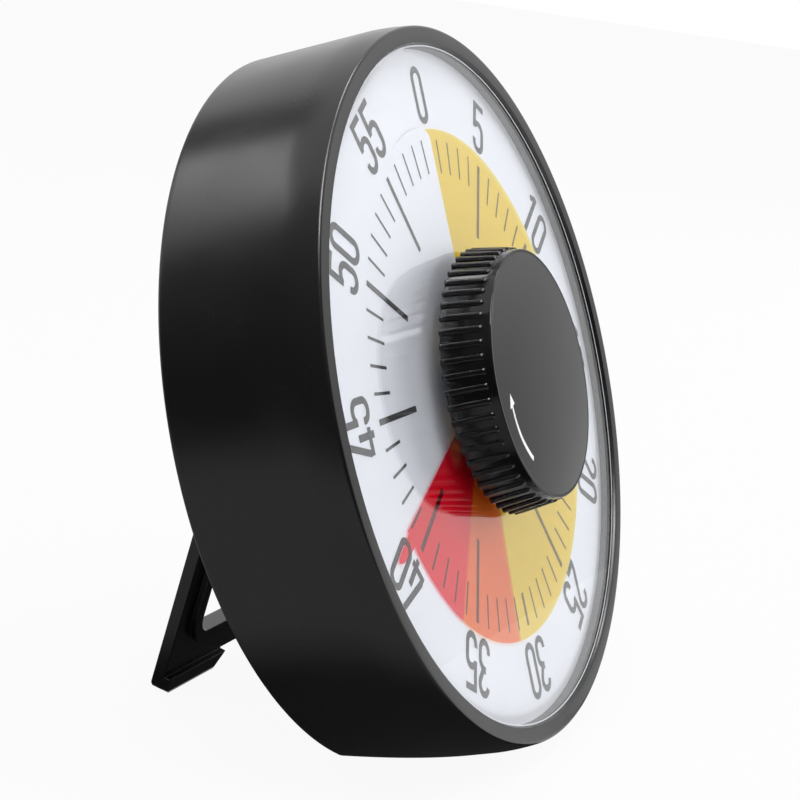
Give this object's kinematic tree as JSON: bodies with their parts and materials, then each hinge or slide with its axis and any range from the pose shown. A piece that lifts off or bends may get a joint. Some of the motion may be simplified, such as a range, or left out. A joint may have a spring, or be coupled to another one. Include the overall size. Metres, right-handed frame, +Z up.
{
  "type": "visual countdown timer",
  "caption": "Round mechanical-style countdown timer with ribbed setting knob, translucent colour disc threaded through a slit dial, clear lens and folding rear stand.",
  "frame": {"origin": "centre of the bounding box on the table plane, which is the plane of the flat under the drum and the stand's feet", "axes": "+X to the right as seen from the dial, -Y towards the viewer in front of the dial, +Z up; the dial leans back 21 degrees"},
  "size_m": [0.1768, 0.0992, 0.1677],
  "materials": {
    "black_case": "fine satin texture",
    "black_knob": "glossy",
    "grey_cap": "smooth satin",
    "clear_lens": "clear polished plastic",
    "black_inner": "matte",
    "white_dial": "smooth matte print",
    "disc_colours": "translucent film, yellow, orange and red",
    "pale_plastic": "matte",
    "gear_plastic": "moulded natural plastic",
    "movement_plastic": "matte",
    "shaft_steel": "turned steel",
    "screw_steel": "zinc plated",
    "brass_parts": "plain brass",
    "magnet_grey": "sintered",
    "stator_steel": "laminated steel",
    "copper_wire": "enamelled copper wire",
    "board_green": "solder mask",
    "chip_black": "moulded",
    "plated_metal": "nickel plated",
    "battery_wrap": "plain black sleeve, bare of any print"
  },
  "bodies": {
    "drum": {"front_case": "black_case", "lens": "clear_lens", "spacer_ring": "black_inner", "dial_plate": "white_dial", "dial_carrier": "black_inner", "back_cover": "black_case", "case_screws": "screw_steel", "shaft_bushing": "brass_parts", "bushing_nut": "brass_parts", "movement_frame": "movement_plastic", "movement_cover": "movement_plastic", "movement_screws": "screw_steel", "stator": "stator_steel", "coil_bobbin": "pale_plastic", "coil_winding": "copper_wire", "circuit_board": "board_green", "driver_chip": "chip_black", "quartz_crystal": "plated_metal", "battery": "battery_wrap", "battery_spring": "plated_metal", "battery_contact": "plated_metal", "buzzer": "chip_black", "alarm_switch": "black_inner", "hinge_pin": "shaft_steel"},
    "knob": {"knob": "black_knob", "knob_cap": "grey_cap", "knob_screw": "screw_steel", "centre_shaft": "shaft_steel", "clutch_spring": "brass_parts", "retaining_clip": "shaft_steel"},
    "disc": {"colour_disc": "disc_colours", "disc_hub": "pale_plastic"},
    "centre_gear": {"centre_wheel": "gear_plastic"},
    "third_gear": {"third_wheel": "gear_plastic"},
    "intermediate_gear": {"intermediate_wheel": "gear_plastic"},
    "rotor": {"rotor_pinion": "gear_plastic", "rotor_magnet": "magnet_grey"},
    "stand": {"kickstand": "black_case"},
    "door": {"battery_door": "black_case"},
    "alarm_slide": {"alarm_slider": "pale_plastic"}
  },
  "joints": [
    {"name": "knob_turn", "type": "hinge", "parent": "drum", "child": "knob", "pos_m": [0, -0.02317, 0.08808], "axis": [0, 0.9336, -0.3584], "range_deg": [-246.9, 113.1]},
    {"name": "disc_climb", "type": "slide", "parent": "knob", "child": "disc", "axis": [0, -0.9336, 0.3584], "range_m": [-0.00093, 0.00043]},
    {"name": "stand_fold", "type": "hinge", "parent": "drum", "child": "stand", "pos_m": [0, 0.02588, 0.09978], "axis": [1, 0, 0], "range_deg": [-30.9, 0]},
    {"name": "door_swing", "type": "hinge", "parent": "drum", "child": "door", "pos_m": [0, 0.03234, 0.11117], "axis": [-1, 0, 0], "range_deg": [0, 105]},
    {"name": "alarm_switch_slide", "type": "slide", "parent": "drum", "child": "alarm_slide", "axis": [0, -0.3584, -0.9336], "range_m": [0, 0.004]},
    {"name": "intermediate_spin", "type": "hinge", "parent": "drum", "child": "intermediate_gear", "pos_m": [-0.01825, -0.00295, 0.08078], "axis": [0, 0.9336, -0.3584], "continuous": true},
    {"name": "third_spin", "type": "hinge", "parent": "drum", "child": "third_gear", "pos_m": [-0.01442, -0.00672, 0.07095], "axis": [0, 0.9336, -0.3584], "continuous": true},
    {"name": "centre_spin", "type": "hinge", "parent": "drum", "child": "centre_gear", "pos_m": [0, -0.0031, 0.08038], "axis": [0, 0.9336, -0.3584], "continuous": true},
    {"name": "rotor_spin", "type": "hinge", "parent": "drum", "child": "rotor", "pos_m": [-0.01442, 0.00082, 0.09061], "axis": [0, 0.9336, -0.3584], "continuous": true}
  ],
  "couplings": [
    {"joint": "disc_climb", "follows": "knob_turn", "m_per_rad": 0.00021486},
    {"joint": "third_spin", "follows": "intermediate_spin", "ratio": -0.16667},
    {"joint": "centre_spin", "follows": "intermediate_spin", "ratio": 0.016667},
    {"joint": "rotor_spin", "follows": "intermediate_spin", "ratio": -6}
  ]
}
